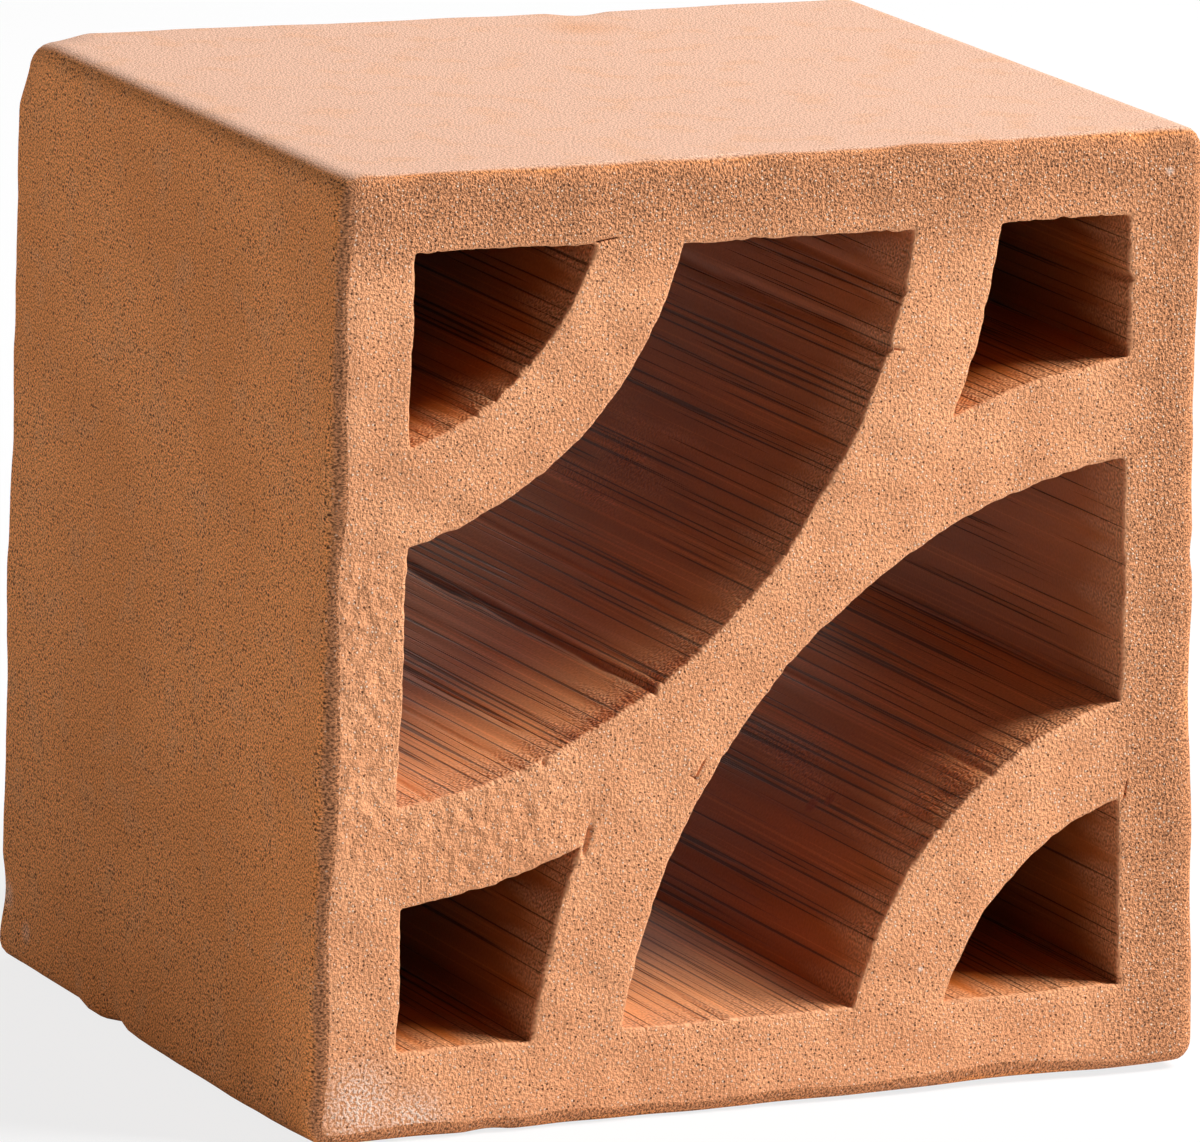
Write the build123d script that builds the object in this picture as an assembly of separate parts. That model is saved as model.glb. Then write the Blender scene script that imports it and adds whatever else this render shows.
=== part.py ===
from build123d import *
import os

# Breeze block of fired clay, one extruded and wire-cut piece, in millimetres.
# It stands as laid in a wall: X is the width, Z is up and the voids run through along Y.
# The origin is the middle of the bottom face. The front, at -Y, and the back are the wire-cut faces.

# Overall size of the block
WIDTH = 200.0
HEIGHT = 200.0
DEPTH = 170.0

# Clay section: the shell round the pattern, and the webs between one arc and the next about the same corner
SHELL = 17.5
WEB = 20.5

# Radius of the small quarter-round void, struck from an outer corner of the block
QUARTER_RADIUS = 60.0

# Rounded edges
CORNER_RADIUS = 4.5
ARRIS_RADIUS = 3.0
VOID_CORNER_RADIUS = 0.8

# Every arc is struck from one of two opposite outer corners, so that circles close across a laid wall.
# The two wide channels leave one web between them, as thick as the shell where it is thinnest.
DIAGONAL = (WIDTH**2 + HEIGHT**2) ** 0.5
CHANNEL_INNER_RADIUS = QUARTER_RADIUS + WEB
CHANNEL_OUTER_RADIUS = (DIAGONAL - SHELL) / 2
CORNER_VOID_RADIUS = CHANNEL_OUTER_RADIUS + WEB

TOP_LEFT = (-WIDTH / 2, HEIGHT)
BOTTOM_RIGHT = (WIDTH / 2, 0)
FACE_CENTRE = (0, HEIGHT / 2)


def disc(corner, radius):
    """A full disc about an outer corner, in the plane of the section."""
    return Pos(*corner) * Circle(radius)


def clear_window():
    """The rectangle inside the shell, which bounds every void."""
    return Pos(*FACE_CENTRE) * Rectangle(WIDTH - 2 * SHELL, HEIGHT - 2 * SHELL)


def quarter_void(corner):
    """The quarter-round void nearest to a corner."""
    return clear_window() & disc(corner, QUARTER_RADIUS)


def channel_void(corner):
    """The wide curved channel between two arcs about a corner."""
    return clear_window() & (disc(corner, CHANNEL_OUTER_RADIUS) - disc(corner, CHANNEL_INNER_RADIUS))


def corner_voids():
    """The two kite-shaped voids that both sets of arcs leave in the other two corners."""
    return clear_window() - disc(TOP_LEFT, CORNER_VOID_RADIUS) - disc(BOTTOM_RIGHT, CORNER_VOID_RADIUS)


def die_section():
    """The section that the die gives the clay: a rounded outline with six voids, their corners eased."""
    outline = Pos(*FACE_CENTRE) * RectangleRounded(WIDTH, HEIGHT, CORNER_RADIUS)
    voids = [corner_voids()]
    for corner in (TOP_LEFT, BOTTOM_RIGHT):
        voids += [quarter_void(corner), channel_void(corner)]
    for void in voids:
        for face in void.faces():
            outline -= fillet(face.vertices(), VOID_CORNER_RADIUS)
    return outline


def breeze_block():
    """The section drawn through the block's depth, with the outer arrises of both cut faces rounded."""
    column = extrude(Plane.XZ * die_section(), DEPTH / 2, both=True)
    cut_faces = [column.faces().sort_by(Axis.Y)[0], column.faces().sort_by(Axis.Y)[-1]]
    arrises = [edge for face in cut_faces for edge in face.outer_wire().edges()]
    return fillet(arrises, ARRIS_RADIUS)


os.makedirs("parts", exist_ok=True)
export_step(breeze_block(), "parts/breeze_block.step")
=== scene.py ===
import math

import bpy
import numpy as np
from mathutils import Matrix, Vector
from mathutils.geometry import delaunay_2d_cdt


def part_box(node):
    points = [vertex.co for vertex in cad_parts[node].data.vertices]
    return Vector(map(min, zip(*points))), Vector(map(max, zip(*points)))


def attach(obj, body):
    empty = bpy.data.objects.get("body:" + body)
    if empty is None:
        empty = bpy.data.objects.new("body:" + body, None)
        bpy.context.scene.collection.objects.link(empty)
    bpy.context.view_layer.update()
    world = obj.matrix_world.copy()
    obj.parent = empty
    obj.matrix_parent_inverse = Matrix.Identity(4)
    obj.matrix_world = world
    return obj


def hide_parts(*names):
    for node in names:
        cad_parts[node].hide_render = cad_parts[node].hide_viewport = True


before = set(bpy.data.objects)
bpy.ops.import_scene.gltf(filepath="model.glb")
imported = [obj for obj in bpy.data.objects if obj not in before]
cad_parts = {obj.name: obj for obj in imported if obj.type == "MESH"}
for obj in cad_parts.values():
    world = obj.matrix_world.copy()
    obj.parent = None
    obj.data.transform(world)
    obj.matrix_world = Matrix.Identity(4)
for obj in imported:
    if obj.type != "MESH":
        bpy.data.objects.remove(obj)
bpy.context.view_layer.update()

# Camera
# A long lens some way off, a little above the block and to its left, rolled by under two degrees.
# Its place is worked out from the middle of the block.

VIEW_AZIMUTH = math.radians(-25.324)
VIEW_ELEVATION = math.radians(12.432)
VIEW_ROLL = math.radians(1.627)
VIEW_DISTANCE = 2.5472
VIEW_RIGHT, VIEW_UP = -0.00010, -0.00339
LENS, SENSOR = 360.0, 36.0


def place_camera(target):
    """A camera on the ray (sin a cos e, -cos a cos e, sin e) from target, at azimuth a and elevation e,
    turned about that ray by the roll."""
    level = math.cos(VIEW_ELEVATION)
    back = Vector((math.sin(VIEW_AZIMUTH) * level, -math.cos(VIEW_AZIMUTH) * level, math.sin(VIEW_ELEVATION)))
    flat_right = (-back).cross(Vector((0, 0, 1))).normalized()
    flat_up = flat_right.cross(-back)
    right = math.cos(VIEW_ROLL) * flat_right + math.sin(VIEW_ROLL) * flat_up
    up = math.cos(VIEW_ROLL) * flat_up - math.sin(VIEW_ROLL) * flat_right
    lens = bpy.data.cameras.new("camera")
    lens.lens = LENS
    lens.sensor_width = SENSOR
    lens.clip_start, lens.clip_end = 0.05, 100.0
    camera = bpy.data.objects.new("camera", lens)
    camera.matrix_world = Matrix((right, up, back)).transposed().to_4x4()
    camera.location = target + back * VIEW_DISTANCE + right * VIEW_RIGHT + up * VIEW_UP
    bpy.context.scene.collection.objects.link(camera)
    bpy.context.scene.camera = camera


low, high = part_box("breeze_block")
place_camera((low + high) / 2)

# Clay block: section
# One piece of terracotta. Clay is pushed through a die that leaves six voids, and a wire cuts it to length.
# Every arc is struck from one of two opposite outer corners of the section.

HALF_WIDTH, HALF_DEPTH, HEIGHT = high.x, high.y, high.z
SHELL = 0.0175
WEB = 0.0205
QUARTER_RADIUS = 0.060
CHANNEL_INNER_RADIUS = QUARTER_RADIUS + WEB
CHANNEL_OUTER_RADIUS = (math.hypot(2 * HALF_WIDTH, HEIGHT) - SHELL) / 2
CORNER_VOID_RADIUS = CHANNEL_OUTER_RADIUS + WEB
OUTER_CORNER_RADIUS = 0.0045
DIE_EASE = 0.0004
TOP_LEFT = np.array((-HALF_WIDTH, HEIGHT))
BOTTOM_RIGHT = np.array((HALF_WIDTH, 0.0))
WALL_STEP = 0.0006
SKIN_STEP = 0.0016


def reach(radius, inset):
    """How far along a side an arc about an outer corner meets the line that lies inset from that side:
    the root of radius squared less inset squared."""
    return math.sqrt(radius**2 - inset**2)


def line(start, end):
    """Points from start to end, start + t (end - start), with the end left out."""
    start, end = np.array(start, float), np.array(end, float)
    count = max(2, round(np.linalg.norm(end - start) / WALL_STEP))
    t = np.linspace(0, 1, count, endpoint=False)[:, None]
    return start + t * (end - start)


def arc(centre, radius, start, end):
    """Points on a circle, centre + radius (cos a, sin a), with a running the short way from start to end."""
    first = math.atan2(*(np.array(start) - centre)[::-1])
    turn = math.remainder(math.atan2(*(np.array(end) - centre)[::-1]) - first, math.tau)
    angle = first + turn * np.linspace(0, 1, max(2, round(abs(turn) * radius / WALL_STEP)), endpoint=False)
    return centre + radius * np.column_stack([np.cos(angle), np.sin(angle)])


def stepped(points, step):
    """The closed line through points, cut again into equal steps along its length."""
    closed = np.vstack([points, points[:1]])
    length = np.concatenate([[0], np.cumsum(np.linalg.norm(np.diff(closed, axis=0), axis=1))])
    at = np.linspace(0, length[-1], round(length[-1] / step), endpoint=False)
    return np.column_stack([np.interp(at, length, closed[:, axis]) for axis in (0, 1)])


def smoothed(values, step, width):
    """Values round a closed line, smoothed by a Gaussian of that width.
    Each wave k of them is scaled by exp(-2 (pi k width)^2)."""
    waves = np.fft.rfftfreq(len(values), step)
    keep = np.exp(-2 * (np.pi * waves * width) ** 2).reshape(-1, *[1] * (values.ndim - 1))
    return np.fft.irfft(np.fft.rfft(values, axis=0) * keep, len(values), axis=0)


def quarter_void(side, top, radius):
    """The void in the top left corner: down its straight side, round the arc and back along its top."""
    left, upper = -HALF_WIDTH + side, HEIGHT - top
    low_end, high_end = (left, HEIGHT - reach(radius, side)), (-HALF_WIDTH + reach(radius, top), upper)
    return [line((left, upper), low_end), arc(TOP_LEFT, radius, low_end, high_end),
            line(high_end, (left, upper))]


def channel_void(side, top, inner, outer):
    """The wide channel about the top left corner: out along the larger arc and back along the smaller."""
    left, upper = -HALF_WIDTH + side, HEIGHT - top
    left_in, left_out = ((left, HEIGHT - reach(radius, side)) for radius in (inner, outer))
    top_in, top_out = ((-HALF_WIDTH + reach(radius, top), upper) for radius in (inner, outer))
    return [line(left_in, left_out), arc(TOP_LEFT, outer, left_out, top_out),
            line(top_out, top_in), arc(TOP_LEFT, inner, top_in, left_in)]


def corner_void(side, top, from_left, from_right):
    """The kite in the top right corner, between arcs about the struck corners on the left and on the right.
    Its tip is where both arcs cross, at a along the diagonal between those corners and at h away from it."""
    right, upper = HALF_WIDTH - side, HEIGHT - top
    top_end, right_end = (-HALF_WIDTH + reach(from_left, top), upper), (right, reach(from_right, side))
    diagonal = np.linalg.norm(BOTTOM_RIGHT - TOP_LEFT)
    a = (from_left**2 - from_right**2 + diagonal**2) / (2 * diagonal)
    h = math.sqrt(from_left**2 - a**2)
    down, across = (BOTTOM_RIGHT - TOP_LEFT) / diagonal, (BOTTOM_RIGHT - TOP_LEFT)[::-1] * (-1, 1) / diagonal
    tip = TOP_LEFT + a * down + h * across
    return [arc(TOP_LEFT, from_left, top_end, tip), arc(BOTTOM_RIGHT, from_right, tip, right_end),
            line(right_end, (right, upper)), line((right, upper), top_end)]


def turned(points):
    """The same line half a turn about the middle of the face."""
    return np.array((0.0, HEIGHT)) - points


def outline():
    """The outer line of the section, anticlockwise: four sides joined by quarter circles."""
    r, w = OUTER_CORNER_RADIUS, HALF_WIDTH
    parts = [line((-w + r, 0), (w - r, 0)), arc(np.array((w - r, r)), r, (w - r, 0), (w, r)),
             line((w, r), (w, HEIGHT - r)),
             arc(np.array((w - r, HEIGHT - r)), r, (w, HEIGHT - r), (w - r, HEIGHT))]
    return np.vstack(parts + [turned(part) for part in parts])


# The cores wear and shift, so each void is a little off the plain pattern. A row holds how thick the clay is
# beside the void and above or below it, and then the radii of the void's arcs.
CORE_SIZES = {
    "quarter_upper": (quarter_void, 0.0172, 0.0167, 0.0602),
    "quarter_lower": (quarter_void, 0.0179, 0.0185, 0.0614),
    "channel_upper": (channel_void, 0.0173, 0.0176, 0.0798, 0.1329),
    "channel_lower": (channel_void, 0.0174, 0.0192, 0.0814, 0.1327),
    "corner_upper": (corner_void, 0.0171, 0.0174, 0.1528, 0.1538),
    "corner_lower": (corner_void, 0.0186, 0.0183, 0.1528, 0.1537),
}


def void_lines():
    """The closed lines of the six voids, anticlockwise, with the corners that the die eases."""
    lines = {}
    for name, (void, *sizes) in CORE_SIZES.items():
        points = stepped(np.vstack(void(*sizes)), WALL_STEP)
        points = points if name.endswith("upper") else turned(points)
        lines[name] = smoothed(points, WALL_STEP, DIE_EASE)
    return lines


def clearance(x, z):
    """How far a point of the section lies inside the clay: the least distance to the outline or a void."""
    from_top, from_bottom = np.hypot(x + HALF_WIDTH, z - HEIGHT), np.hypot(x - HALF_WIDTH, z)
    window = np.maximum(np.abs(x), np.abs(z - HEIGHT / 2)) - (HALF_WIDTH - SHELL)
    nearest = [np.minimum(HALF_WIDTH - np.abs(x), HEIGHT / 2 - np.abs(z - HEIGHT / 2))]
    for radius in (from_top, from_bottom):
        channel = np.maximum(CHANNEL_INNER_RADIUS - radius, radius - CHANNEL_OUTER_RADIUS)
        nearest += [np.maximum(window, radius - QUARTER_RADIUS), np.maximum(window, channel)]
    nearest.append(np.maximum(window, CORNER_VOID_RADIUS - np.minimum(from_top, from_bottom)))
    return np.min(nearest, axis=0)


# Clay block: relief
# The die drags lines down the void walls, grit tears patches out of them, and the wire leaves the cut
# faces uneven. Drying and firing then lean the whole block, bow its sides and chip its edges.

MOUTH_ARRIS = 0.00045
OUTER_ARRIS = 0.0031
CLAY = np.random.default_rng(41)


def ripples(points, wavelength, rng, count=28):
    """Smooth noise of unit spread: a sum of sines of random direction and phase, near one wavelength."""
    points = np.asarray(points)
    direction = rng.normal(size=(count, points.shape[-1]))
    direction /= np.linalg.norm(direction, axis=1)[:, None]
    wave = direction * math.tau / (wavelength * rng.uniform(0.7, 1.5, (count, 1)))
    return np.sin(points @ wave.T + rng.uniform(0, math.tau, count)).sum(-1) * math.sqrt(2 / count)


def bump_at(distance, width):
    """A bell of that width, exp(-(distance / width)^2)."""
    return np.exp(-((distance / width) ** 2))


def between(value, first, last, edge):
    """One between first and last, falling to nought over edge at either end."""
    rise = np.clip((value - first) / edge + 0.5, 0, 1)
    fall = np.clip((last - value) / edge + 0.5, 0, 1)
    return rise * rise * (3 - 2 * rise) * fall * fall * (3 - 2 * fall)


# Lines that the die drags all over the walls, from fine to broad: how wide and how high each kind is. A share
# of their height changes along the depth, from each of a few knots to the next.
DRAG_LINES = ((0.0007, 0.00005), (0.0016, 0.00006), (0.0050, 0.00012))
DRAG_CHANGE, DRAG_KNOTS = 0.35, 4


def drag_lines(count, depth, rng):
    """Relief that the die drags along a void wall of count steps, in metres into the clay, at each depth.
    Random values round the line are smoothed at three widths, and each width changes slowly with depth."""
    knots = np.linspace(0, 2 * HALF_DEPTH, DRAG_KNOTS)
    relief = 0
    for width, height in DRAG_LINES:
        profile = smoothed(rng.normal(size=(count, len(knots))), WALL_STEP, width)
        shared = smoothed(rng.normal(size=(count, 1)), WALL_STEP, width)
        profile = DRAG_CHANGE * profile / profile.std() + shared / shared.std()
        weight = np.array([np.interp(depth, knots, np.eye(len(knots))[k]) for k in range(len(knots))])
        relief = relief + height * profile @ weight
    return relief


# Deep drag lines: where each meets the front face, x and z, its width and depth, and how far in it starts
# and ends. Each wanders a little from side to side, and fades out at its ends.
SCORE_WANDER, SCORE_WANDER_LENGTH, SCORE_FADE = 0.0003, 0.05, 0.02
SCORES = {
    "channel_upper": [
        ((-0.0267, 0.0905), 0.0008, 0.0011, -0.01, 0.18),
        ((-0.0250, 0.0925), 0.0004, 0.0003, -0.01, 0.09),
        ((0.0262, 0.1577), 0.0012, 0.0009, -0.01, 0.18),
        ((0.0287, 0.1701), 0.0013, 0.0007, -0.01, 0.18),
        ((0.0283, 0.1672), 0.0006, 0.0004, -0.01, 0.18),
        ((0.0090, 0.1270), 0.0005, 0.0003, 0.03, 0.18),
        ((-0.0010, 0.1140), 0.0006, 0.0004, 0.02, 0.18),
        ((-0.0130, 0.1010), 0.0004, 0.0004, 0.02, 0.18),
        ((-0.0480, 0.0795), 0.0005, 0.0004, 0.02, 0.18),
        ((-0.0560, 0.0760), 0.0003, 0.0004, -0.01, 0.12),
        ((-0.0760, 0.0716), 0.0004, 0.0005, -0.01, 0.06),
    ],
    "channel_lower": [
        ((0.0530, 0.0654), 0.0006, 0.0005, -0.01, 0.18),
        ((0.0270, 0.0280), 0.0022, 0.0006, -0.01, 0.18),
        ((0.0150, 0.0175), 0.0004, 0.0003, -0.01, 0.09),
        ((-0.0080, 0.0175), 0.0004, 0.0003, -0.01, 0.05),
        ((-0.0120, 0.0175), 0.0003, 0.0002, -0.01, 0.05),
    ],
    "corner_upper": [
        ((0.0825, 0.1687), 0.0009, 0.0011, -0.01, 0.10),
        ((0.0825, 0.1760), 0.0006, 0.0004, -0.01, 0.18),
        ((0.0720, 0.1490), 0.0005, 0.0004, -0.01, 0.18),
    ],
    "quarter_upper": [
        ((-0.0560, 0.1590), 0.0004, 0.0004, -0.01, 0.12),
        ((-0.0590, 0.1560), 0.0004, 0.0005, -0.01, 0.10),
        ((-0.0640, 0.1520), 0.0003, 0.0004, -0.01, 0.08),
        ((-0.0690, 0.1490), 0.0003, 0.0003, -0.01, 0.06),
    ],
}

# Patches that grit has torn: the middle, x, depth from the front and z, the half length along the wall and
# the half depth, and how rough they are. Each is whole in its middle, and its rim is ragged.
TORN_WHOLE, TORN_RAGGED, TORN_RAGGED_LENGTH = 1.2, 0.3, 0.009
TORN_PATCHES = {
    "channel_upper": [
        ((0.0045, 0.087, 0.1210), 0.012, 0.017, 0.00022),
        ((-0.0300, 0.004, 0.0870), 0.020, 0.006, 0.00010),
    ],
    "channel_lower": [
        ((0.0400, 0.068, 0.0535), 0.007, 0.018, 0.00014),
        ((0.0490, 0.012, 0.0610), 0.020, 0.012, 0.00010),
    ],
}


def place_on(line_points, spot):
    """The step of a closed line that lies nearest to a spot of the section."""
    return int(np.argmin(np.linalg.norm(line_points - np.array(spot), axis=1)))


def steps_from(count, place):
    """The signed length along a closed line from a place on it, the short way round."""
    steps = np.arange(count) - place
    return ((steps + count // 2) % count - count // 2) * WALL_STEP


def wall_relief(name, line_points, depth, rng):
    """How deep a void wall lies below the die's line at each step and depth, and how torn it is there."""
    count = len(line_points)
    relief = drag_lines(count, depth, rng)
    for spot, width, deep, start, end in SCORES.get(name, []):
        place = place_on(line_points, spot)
        along = steps_from(count, place)[:, None]
        wander = SCORE_WANDER * ripples(depth[:, None] + place, SCORE_WANDER_LENGTH, rng)
        relief += deep * bump_at(along + wander, width) * between(depth, start, end, SCORE_FADE)
    torn = np.zeros((count, len(depth)))
    for (x, d, z), half_length, half_depth, rough in TORN_PATCHES.get(name, []):
        along = steps_from(count, place_on(line_points, (x, z)))[:, None]
        wall = np.stack(np.broadcast_arrays(along, depth), -1)
        ragged = TORN_RAGGED * ripples(wall, TORN_RAGGED_LENGTH, rng)
        away = np.hypot(along / half_length, (depth - d) / half_depth)
        inside = np.clip(TORN_WHOLE - away + ragged, 0, 1)
        torn = np.maximum(torn, inside)
        relief += rough * inside * rng.normal(size=relief.shape)
    return relief, torn


def arris(radius, turn):
    """A rounded edge at each angle of turn from the face: how far it is set back from the wall, which is
    radius (1 - sin turn), and from the face, which is radius (1 - cos turn)."""
    return radius * (1 - np.sin(turn)), radius * (1 - np.cos(turn))


def normals_of(points):
    """Unit normals of an anticlockwise line, pointing away from what it encloses."""
    along = np.roll(points, -1, axis=0) - np.roll(points, 1, axis=0)
    along /= np.linalg.norm(along, axis=1)[:, None]
    return np.column_stack([along[:, 1], -along[:, 0]])


# Rows of points from the front face to the middle of the depth, and the turns of the rounded edges.
WALL_DEPTHS = np.array((0.0014, 0.0035, 0.008, 0.016, 0.026, 0.038, 0.052, 0.068))
SKIN_DEPTHS = np.linspace(0.009, HALF_DEPTH, 12)
MOUTH_TURNS = np.radians((0.0, 45.0, 90.0))
ARRIS_TURNS = np.radians((0.0, 20.0, 40.0, 60.0, 78.0, 90.0))

# The radius of a void's mouth changes round the line, within limits. Crumbs have broken out of the mouth
# where the random line passes a start, and they are shallower along the left of a void.
MOUTH_LEAST, MOUTH_MOST = 0.0002, 0.0009
MOUTH_CHANGE, MOUTH_SPREAD, MOUTH_CHANGE_WIDTH = 0.35, 0.3, 0.001
CRUMB_WIDTH, CRUMB_DEPTH, CRUMB_START, CRUMB_MOST = 0.0006, 0.00014, 0.4, 2.5
CALM_LEVEL, CALM_SLOPE, CALM_LEAST = 1.2, 1.6, 0.15

# The outer arrises' radius changes round the outline.
ARRIS_CHANGE, ARRIS_CHANGE_WIDTH = 0.16, 0.006


def both_ends(near, middle):
    """Depths from the front face, given for the front half, carried on to the back face."""
    return np.concatenate([near, middle, 2 * HALF_DEPTH - near[::-1]])


def void_wall(name, line_points, rng):
    """One void as a grid of steps round its line by rows from front to back, with both mouths rounded.
    Returns the grid of points, x, y and z, and the torn amount."""
    depth = both_ends(WALL_DEPTHS, [HALF_DEPTH])
    relief, torn = wall_relief(name, line_points, depth, rng)
    count = len(line_points)
    outward = normals_of(line_points)
    uneven = smoothed(rng.normal(size=count), WALL_STEP, MOUTH_CHANGE_WIDTH)
    radius = MOUTH_ARRIS * (1 + MOUTH_CHANGE * uneven / MOUTH_SPREAD)
    radius = np.clip(radius, MOUTH_LEAST, MOUTH_MOST)[:, None]
    push, inward = arris(radius, MOUTH_TURNS)
    crumbled = smoothed(rng.normal(size=(count, 2)), WALL_STEP, CRUMB_WIDTH)
    calm = np.clip(CALM_LEVEL + CALM_SLOPE * outward[:, :1], CALM_LEAST, 1)
    crumbled = CRUMB_DEPTH * calm * np.clip(crumbled / crumbled.std() - CRUMB_START, 0, CRUMB_MOST)
    relief[:, 0] += crumbled[:, 0]
    relief[:, -1] += crumbled[:, 1]
    front = np.concatenate([relief[:, :1] + push, relief], axis=1)
    set_in = np.concatenate([front, relief[:, -1:] + push[:, ::-1]], axis=1)
    middle = np.broadcast_to(depth, relief.shape)
    y = np.concatenate([inward, middle, 2 * HALF_DEPTH - inward[:, ::-1]], axis=1)
    edge = np.zeros((count, len(MOUTH_TURNS)))
    place = line_points[:, None] + outward[:, None] * set_in[..., None]
    grid = np.stack([place[..., 0], y - HALF_DEPTH, place[..., 1]], axis=-1)
    return grid, np.concatenate([edge, torn, edge], axis=1)


def skin(line_points, rng):
    """The outside as a grid of steps round the outline by rows from front to back, with rounded arrises."""
    count = len(line_points)
    step = 4 * (HALF_WIDTH + HEIGHT / 2) / count
    uneven = smoothed(rng.normal(size=(count, 2)), step, ARRIS_CHANGE_WIDTH)
    radius = OUTER_ARRIS * (1 + ARRIS_CHANGE * uneven / uneven.std())
    front_push, front_in = arris(radius[:, :1], ARRIS_TURNS)
    back_push, back_in = arris(radius[:, 1:], ARRIS_TURNS[::-1])
    depth = both_ends(SKIN_DEPTHS[:-1], SKIN_DEPTHS[-1:])
    flat = np.zeros((count, len(depth)))
    set_in = np.concatenate([front_push, flat, back_push], axis=1)
    y = np.concatenate([front_in, flat + depth, 2 * HALF_DEPTH - back_in], axis=1)
    place = line_points[:, None] - normals_of(line_points)[:, None] * set_in[..., None]
    return np.stack([place[..., 0], y - HALF_DEPTH, place[..., 1]], axis=-1)


# Marks on the front cut face, where the wire or a later knock has caught it: the middle x and z, the
# direction in degrees, the half length, the half width and the depth.
FRONT_MARKS = (
    ((-0.0400, 0.1840), 8, 0.0026, 0.00018, 0.0009),
    ((0.0836, 0.0600), 77, 0.0022, 0.00016, 0.0008),
    ((-0.0504, 0.0763), 80, 0.0012, 0.00045, 0.0011),
    ((-0.0150, 0.0722), 60, 0.0022, 0.00020, 0.0007),
    ((-0.0164, 0.0706), -30, 0.0009, 0.00022, 0.0008),
    ((0.0278, 0.1576), -10, 0.0015, 0.00020, 0.0008),
    ((-0.0400, 0.0590), 75, 0.0030, 0.00050, 0.0012),
)

# How far apart the points inside a cut face are, and how much each is shaken out of its row. No wall's relief
# reaches deeper into the clay than the deepest score.
FRONT_GRID, BACK_GRID, FINE_GRID = 0.00120, 0.0019, 0.00028
GRID_SHAKE = 0.16
DEEPEST_SCORE = 0.0025

# The fine net round a mark reaches so many half lengths along it, has its rows at so many half widths across
# it, and clears the even net that far. Points keep a margin from every edge, in spacings or in arrises.
FINE_REACH, FINE_ROWS = 1.6, np.arange(-3.5, 3.6) * 0.5
CLEARED_LENGTH, CLEARED_WIDTH = 1.8, 2.2
NET_MARGIN, FINE_MARGIN, OUTER_MARGIN = 0.6, 2.2, 1.35


def encloses(ring, points):
    """Whether a closed line encloses each point: the number of its steps that cross a level ray is odd."""
    a, b = ring[None], np.roll(ring, -1, axis=0)[None]
    p = points[:, None]
    spans = (a[..., 1] > p[..., 1]) != (b[..., 1] > p[..., 1])
    height = np.where(b[..., 1] == a[..., 1], 1.0, b[..., 1] - a[..., 1])
    crossing = a[..., 0] + (p[..., 1] - a[..., 1]) / height * (b[..., 0] - a[..., 0])
    return (spans & (crossing > p[..., 0])).sum(1) % 2 == 1


def mark_depth(x, z):
    """How deep the marks cut the front face: bells across each mark, ended smoothly along it."""
    total = np.zeros_like(x)
    for (middle_x, middle_z), degrees, half_length, half_width, deep in FRONT_MARKS:
        c, s = math.cos(math.radians(degrees)), math.sin(math.radians(degrees))
        along = (x - middle_x) * c + (z - middle_z) * s
        across = (z - middle_z) * c - (x - middle_x) * s
        total += deep * bump_at(across, half_width) * between(along, -half_length, half_length, half_length)
    return total


def hexagonal(spacing):
    """Points of a triangular net over the face, each row half a step aside from the last, shaken a little."""
    rows = np.arange(0, HEIGHT, spacing * math.sqrt(3) / 2)
    columns = np.arange(-HALF_WIDTH, HALF_WIDTH, spacing)
    x, z = np.meshgrid(columns, rows)
    x = x + (np.arange(len(rows)) % 2)[:, None] * spacing / 2
    points = np.column_stack([x.ravel(), z.ravel()])
    return points + CLAY.uniform(-GRID_SHAKE, GRID_SHAKE, points.shape) * spacing


def face_points(spacing, marked, mouths):
    """The loose points inside a cut face: an even net, with a fine one in its place round each mark. Points
    too near an edge, or in a mouth, are left out."""
    points = hexagonal(spacing)
    margin = np.full(len(points), NET_MARGIN * spacing + MOUTH_ARRIS)
    if marked:
        near = np.zeros(len(points), bool)
        fine = []
        for (x, z), degrees, half_length, half_width, _ in FRONT_MARKS:
            c, s = math.cos(math.radians(degrees)), math.sin(math.radians(degrees))
            a = np.arange(-FINE_REACH * half_length, FINE_REACH * half_length, FINE_GRID * 1.5)
            along, across = (g.ravel() for g in np.meshgrid(a, FINE_ROWS * half_width))
            fine.append(np.column_stack([x + along * c - across * s, z + along * s + across * c]))
            offset = points - (x, z)
            beside = abs(offset @ (c, s)) < CLEARED_LENGTH * half_length
            near |= beside & (abs(offset @ (-s, c)) < CLEARED_WIDTH * half_width)
        points = np.vstack([points[~near]] + fine)
        margin = np.append(margin[~near], np.full(sum(len(f) for f in fine), FINE_MARGIN * MOUTH_ARRIS))
    clear = clearance(points[:, 0], points[:, 1])
    outer = np.minimum(HALF_WIDTH - abs(points[:, 0]), HEIGHT / 2 - abs(points[:, 1] - HEIGHT / 2))
    kept = points[(clear > margin) & (outer > OUTER_ARRIS * OUTER_MARGIN + 0.5 * spacing)]
    close = np.nonzero(clearance(kept[:, 0], kept[:, 1]) < DEEPEST_SCORE)[0]
    in_air = np.any([encloses(mouth, kept[close]) for mouth in mouths], axis=0)
    return np.delete(kept, close[in_air], axis=0)


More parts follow.
